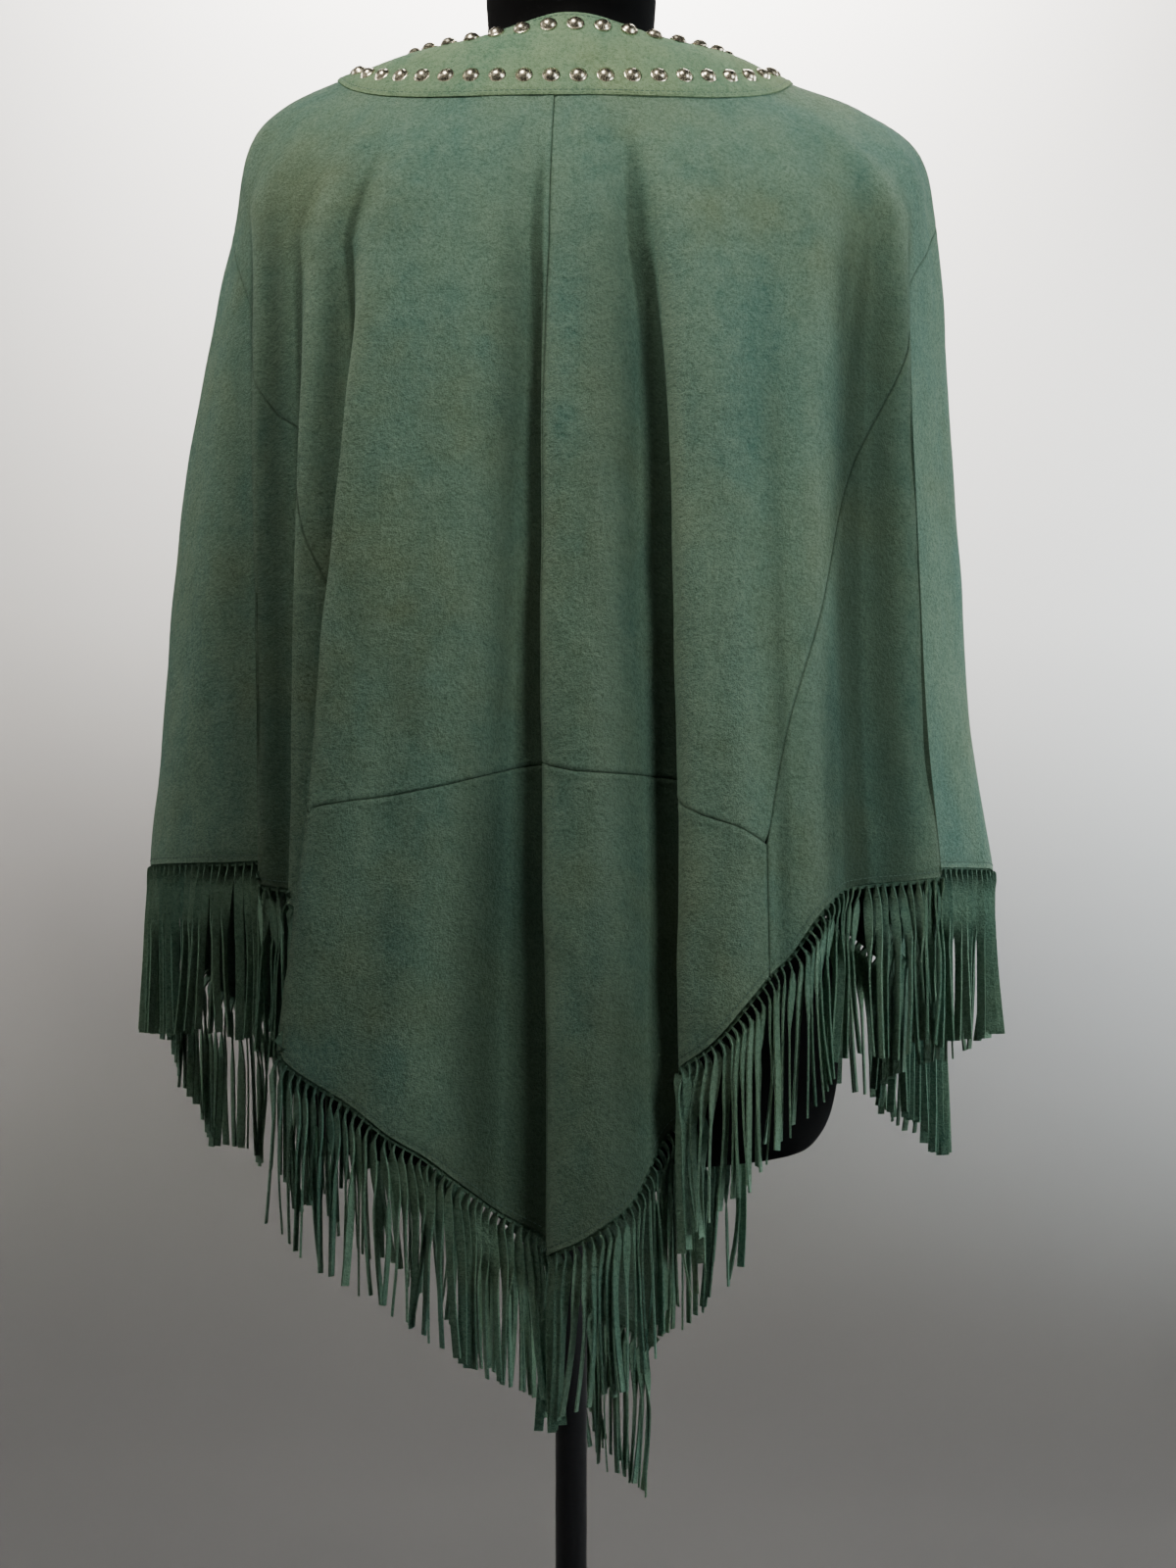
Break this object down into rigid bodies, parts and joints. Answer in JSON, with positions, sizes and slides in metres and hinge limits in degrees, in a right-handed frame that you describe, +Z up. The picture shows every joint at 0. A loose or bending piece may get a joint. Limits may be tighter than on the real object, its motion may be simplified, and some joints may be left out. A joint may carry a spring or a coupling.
{
  "type": "suede poncho on a limbless dress form",
  "caption": "Pointed suede poncho with a studded neck yoke, panel seams and a cut fringe, draped over a limbless dress form on a pole stand.",
  "frame": {"origin": "on the floor, at the middle of the whole object's footprint in X and Y, under the stand's base", "axes": "+Z up along the pole, the garment's back faces -Y, the wearer's right is +X"},
  "size_m": [0.5489, 0.3957, 1.467],
  "materials": {
    "suede": "sage green suede, short napped, unlined",
    "yoke": "sage green suede band",
    "fringe": "cut suede strips",
    "studs": "polished nickel domes",
    "form_cover": "black knitted cover",
    "stand": "black satin enamel"
  },
  "bodies": {
    "root": {"neck_yoke": "yoke", "back_upper_left": "suede", "back_upper_right": "suede", "back_lower_left": "suede", "back_lower_right": "suede", "side_right": "suede", "side_left": "suede", "front_panel": "suede", "fringe_back_left": "fringe", "fringe_back_right": "fringe", "fringe_side_right": "fringe", "fringe_side_left": "fringe", "fringe_front": "fringe", "dress_form": "form_cover", "form_pole": "stand", "form_base": "stand"}
  },
  "joints": []
}
